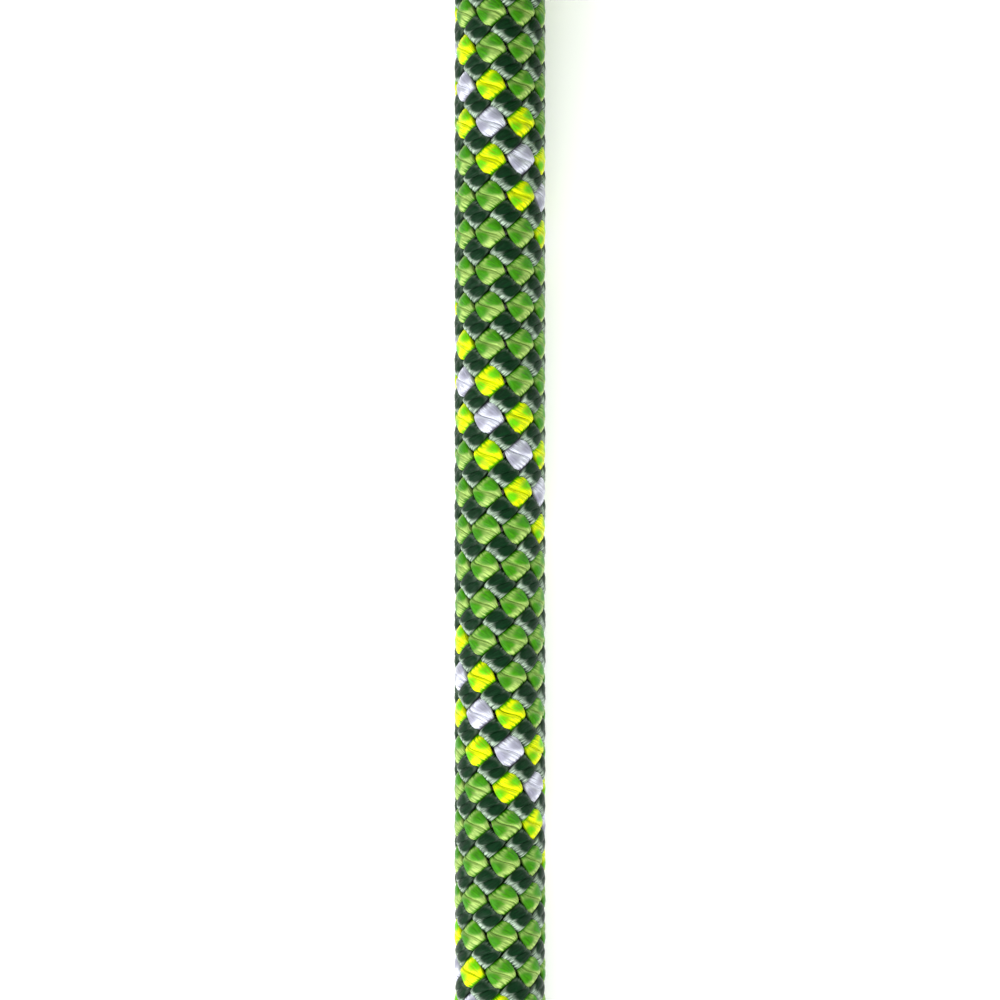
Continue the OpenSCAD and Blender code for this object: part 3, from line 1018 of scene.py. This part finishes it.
class ROPE_OT_core(Operator):
    """Core strands, year thread and marker tape inside the sheath"""

    bl_idname = "rope.core"
    bl_label = "Core"

    def execute(self, context):
        _, _, colours = settings()
        plied = plied_finish("plied core", colours.core_yarn, 9 * MM, 3)
        for index in range(1, CORE_STRANDS + 1):
            finish_node(f"core_strand_{index}", plied)
        thread = plied_finish("twisted thread", colours.thread, 2 * MM, 2)
        finish_node("year_thread", thread)
        film = speckled_finish(
            "marker film", colours.tape, 0.2, 0.4 * MM, 0.02 * MM, 0.08, Coat_Weight=0.4
        )
        finish_node("marker_tape", film)
        return {"FINISHED"}


class ROPE_OT_hank(Operator):
    """The rest of the rope, wound in folds from the straight length to its tail"""

    bl_idname = "rope.hank"
    bl_label = "Hank"

    def execute(self, context):
        sizes, hank, colours = settings()
        braid = braid_finish("braided rope", colours)
        route = wandered(hank_route(sizes, hank), hank.wander, 11)
        begin = BRAID_END + sizes.detailed_end
        first_count = round((begin - braid_zero(sizes)) / (sizes.turn / CROSSINGS))
        twist = float(braid_twist(np.array(begin), sizes))
        rings, centre, counts = plain_rope_rings(route, sizes, first_count, twist)
        cuts = np.linspace(0, len(rings) - 1, hank.rope_pieces + 1).astype(int)
        cuts[1:-1] -= cuts[1:-1] % CROSSINGS
        middles = ["rope_middle"] + [f"rope_middle_{k}" for k in range(2, hank.rope_pieces - 1)]
        names = ["rope_lead_side", *middles, "rope_tail_side"]
        for name, low, high in zip(names, cuts[:-1], cuts[1:]):
            part = rings[low:high + 1]
            line = centre[low:high + 1]
            quads, caps = tube_faces(len(part), CROSSINGS)
            points = np.concatenate([part.reshape(-1, 3), line[[0]], line[[-1]]])
            uv, baked = self.count_maps(len(part), int(counts[low]))
            piece = add_piece(name, braid, "green_yarn", points, quads, caps, uv, None, baked)
            last = name == names[-1]
            if name == names[0]:
                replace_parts(piece, "lead_rope", "rope_hank")
            if last:
                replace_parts(piece, "tail_rope")
        return {"FINISHED"}

    def count_maps(self, rows, first_count):
        """Two maps of every face corner. The braid's own: crossings round, and crossings
        along from a whole turn, so that the numbers stay small. The other for baking: the
        braid repeats in every turn, so every two turns of it share one square."""
        square = 2 * CROSSINGS
        wall, caps = corner_counts(rows, CROSSINGS)
        counts = np.concatenate([wall, caps])
        counts[:, 0] += first_count % CROSSINGS
        wall, caps = np.split(counts[:, 0], [len(wall)])
        lowest = np.concatenate([face_lowest(wall, 4), face_lowest(caps, 3)])
        along = counts[:, 0] - np.floor(lowest / square) * square
        baked = np.stack([counts[:, 1] / CROSSINGS, along / square], axis=-1)
        return counts[:, ::-1], baked


class ROPE_OT_tie(Operator):
    """The webbing strap round the hank's waist, and its ring"""

    bl_idname = "rope.tie"
    bl_label = "Tie"

    def execute(self, context):
        _, hank, colours = settings()
        webbing = webbing_finish("webbing", colours.webbing)
        loop = self.band(self.loop_line(hank), hank, True)
        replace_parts(add_piece("tie_strap_loop", webbing, "strap_webbing", **loop), "tie_strap")
        tab = self.band(self.tab_line(hank), hank, False)
        add_piece("tie_strap_tab", webbing, "strap_webbing", **tab)
        moulded = speckled_finish("moulded ring", colours.ring, 0.42, 0.3 * MM, 0.04 * MM)
        finish_node("tie_ring", moulded)
        return {"FINISHED"}

    def loop_line(self, hank):
        """The loop's middle line, as (x, z, outward x, outward z, lift): four quarter circles
        joined by straight sides. lift is 1 along the top and 0 at the bottom."""
        half = hank.strap_thickness / 2
        corner = hank.strap_corner - half
        top = float(RING_LOW[2]) - half
        low_x, high_x = float(HANK_LOW[0]) + half + corner, float(HANK_HIGH[0]) - half - corner
        low_z, high_z = half + corner, top - corner
        centres = [(high_x, low_z), (high_x, high_z), (low_x, high_z), (low_x, low_z)]
        quarter = np.linspace(0, np.pi / 2, 12)
        straight = np.linspace(0, 1, 40, endpoint=False)[1:, None]
        parts = []
        for index, centre in enumerate(centres):
            turn = (index - 1) * np.pi / 2 + quarter
            out = np.stack([np.cos(turn), np.sin(turn)], axis=-1)
            arc = centre + corner * out
            end = centres[(index + 1) % 4] + corner * out[-1]
            side = arc[-1] + (end - arc[-1]) * straight
            parts.append(np.concatenate([arc, out], axis=1))
            parts.append(np.concatenate([side, np.tile(out[-1], (len(side), 1))], axis=1))
        line = np.concatenate(parts)
        lift = np.clip((line[:, [1]] - high_z) / corner, 0, 1)
        return np.concatenate([line, lift], axis=1)

    def tab_line(self, hank):
        """The strap's end, which comes up round the ring's bar and lies back on the loop:
        flat, a smooth climb, over the bar, and down its far side."""
        t = hank.strap_thickness
        climb_from, climb_over, short, radius = 8 * MM, 7.5 * MM, 1.2 * MM, 1.8 * MM
        flat_z = float(RING_LOW[2]) + t / 2
        top_z = float(RING_HIGH[2]) + t / 2
        bar_x = float(RING_HIGH[0])
        end_x = float(STRAP_HIGH[0]) - (float(HANK_HIGH[0]) - (bar_x + hank.tab))
        along = np.linspace(end_x, bar_x - short, 60)
        climb = eased(np.clip((bar_x + climb_from - along) / climb_over, 0, 1))
        over = np.stack([along, flat_z + (top_z - flat_z) * climb], axis=-1)
        turn = np.linspace(0, np.pi / 2, 8)[1:]
        centre = over[-1] - np.array([0.0, radius])
        round_bar = centre + radius * np.stack([-np.sin(turn), np.cos(turn)], axis=-1)
        down_z = np.linspace(round_bar[-1][1], flat_z - t, 6)[1:]
        down = np.stack([np.full_like(down_z, round_bar[-1][0]), down_z], axis=-1)
        line = np.concatenate([over, round_bar, down])
        tangent = np.gradient(line, axis=0)
        tangent /= np.linalg.norm(tangent, axis=1)[:, None]
        out = np.stack([tangent[:, 1], -tangent[:, 0]], axis=-1)
        return np.concatenate([line, out, np.ones((len(line), 1))], axis=1)

    def band(self, line, hank, closed):
        """A strap carried along a line in the XZ plane. Its section is a flat oblong with
        round edges: half a width times a low power of the cosine across, and half a
        thickness times a power of the sine outwards. Its top's edges rise like a saddle."""
        sides = 36
        width = float(STRAP_HIGH[1] - STRAP_LOW[1])
        turn = np.linspace(0, 2 * np.pi, sides, endpoint=False)
        across = width / 2 * squared(np.cos(turn), 0.35)
        out = hank.strap_thickness / 2 * squared(np.sin(turn), 0.6)
        rise = hank.saddle - np.sqrt(hank.saddle**2 - across**2)
        x = line[:, [0]] + line[:, [2]] * out
        z = line[:, [1]] + line[:, [3]] * out + line[:, [4]] * rise
        rings = np.stack([x, WAIST_Y + across + 0 * x, z], axis=-1)
        rows = len(rings)
        run = run_along(line[:, :2]) / MM
        uv = np.stack([np.repeat(run, sides), np.tile(across / MM, rows)], axis=-1)
        points = rings.reshape(-1, 3)
        if closed:
            return {"points": points, "quads": loop_faces(rows, sides), "uv": uv}
        quads, caps = tube_faces(rows, sides)
        points = np.concatenate([points, rings[[0, -1]].mean(axis=1)])
        uv = np.concatenate([uv, uv[[0, -1]]])
        return {"points": points, "quads": quads, "triangles": caps, "uv": uv}


class ROPE_PT_panel(Panel):
    """Shows the rope's sizes and colours, and a button for each step"""

    bl_label = "Climbing Rope"
    bl_idname = "ROPE_PT_panel"
    bl_space_type = "VIEW_3D"
    bl_region_type = "UI"
    bl_category = "Rope"

    def draw(self, context):
        scene = context.scene
        for group in (scene.rope_sizes, scene.hank_sizes, scene.rope_colours):
            box = self.layout.box()
            for name in group.__annotations__:
                box.prop(group, name)
        for operator in OPERATORS:
            self.layout.operator(operator.bl_idname)


OPERATORS = (ROPE_OT_stage, ROPE_OT_ends, ROPE_OT_sheath, ROPE_OT_hank, ROPE_OT_core, ROPE_OT_tie)
GROUPS = (RopeSizes, HankSizes, RopeColours)
CLASSES = GROUPS + OPERATORS + (ROPE_PT_panel,)


def register():
    for cls in CLASSES:
        bpy.utils.register_class(cls)
    bpy.types.Scene.rope_sizes = PointerProperty(type=RopeSizes)
    bpy.types.Scene.hank_sizes = PointerProperty(type=HankSizes)
    bpy.types.Scene.rope_colours = PointerProperty(type=RopeColours)


def unregister():
    del bpy.types.Scene.rope_colours
    del bpy.types.Scene.hank_sizes
    del bpy.types.Scene.rope_sizes
    for cls in reversed(CLASSES):
        bpy.utils.unregister_class(cls)


def main():
    register()
    bpy.ops.rope.stage()
    bpy.ops.rope.ends()
    bpy.ops.rope.sheath()
    bpy.ops.rope.hank()
    bpy.ops.rope.core()
    bpy.ops.rope.tie()


if __name__ == "__main__":
    main()
